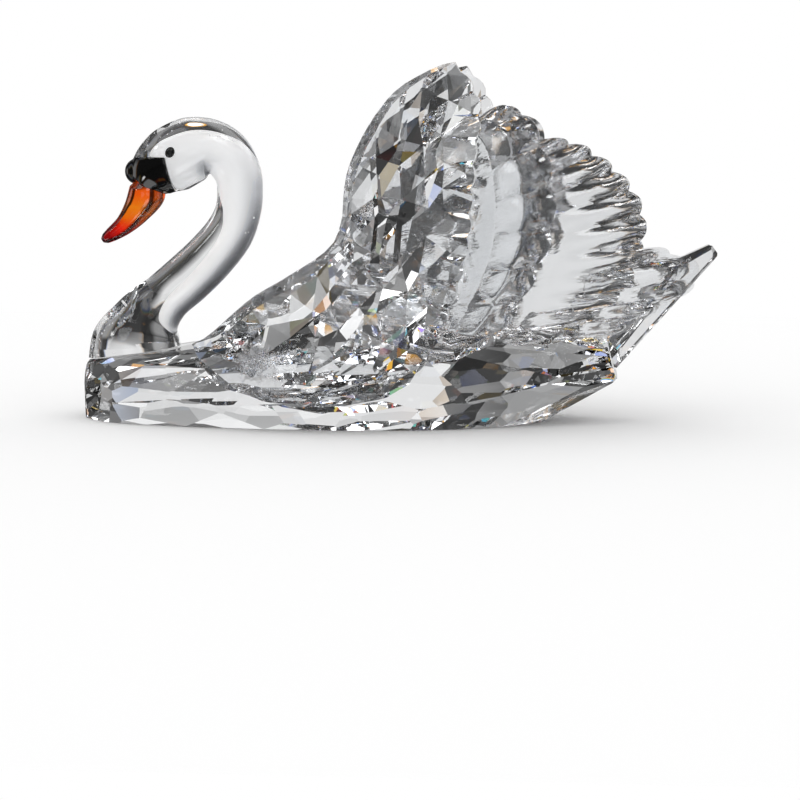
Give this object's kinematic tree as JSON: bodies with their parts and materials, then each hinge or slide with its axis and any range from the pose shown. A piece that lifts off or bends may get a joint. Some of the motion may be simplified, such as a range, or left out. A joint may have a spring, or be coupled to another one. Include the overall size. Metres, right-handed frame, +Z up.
{
  "type": "crystal swan figurine",
  "caption": "Cut crystal swan resting with raised wings: faceted hull and tail, stacked scalloped wing plates, and a curved lampworked glass neck with black mask and orange bill.",
  "frame": {"origin": "on the ground under the middle of the swan's length, in its plane of symmetry", "axes": "+Z up; +X from the head towards the tail, so that the swan looks along -X; +Y towards its right wing"},
  "size_m": [0.1577, 0.0774, 0.0878],
  "materials": {
    "cut_crystal": "clear cut crystal with polished facets",
    "cased_glass": "clear lampworked glass over an opal white core",
    "black_glass": "fire-polished black glass",
    "amber_red_glass": "fire-polished orange glass that turns deep red at the tip"
  },
  "bodies": {
    "root": {"hull": "cut_crystal", "tail": "cut_crystal", "neck": "cased_glass", "mask": "black_glass", "bill": "amber_red_glass", "left_coverts": "cut_crystal", "left_secondaries": "cut_crystal", "left_primaries": "cut_crystal", "left_tertials": "cut_crystal", "left_eye": "black_glass", "right_coverts": "cut_crystal", "right_secondaries": "cut_crystal", "right_primaries": "cut_crystal", "right_tertials": "cut_crystal", "right_eye": "black_glass"}
  },
  "joints": []
}
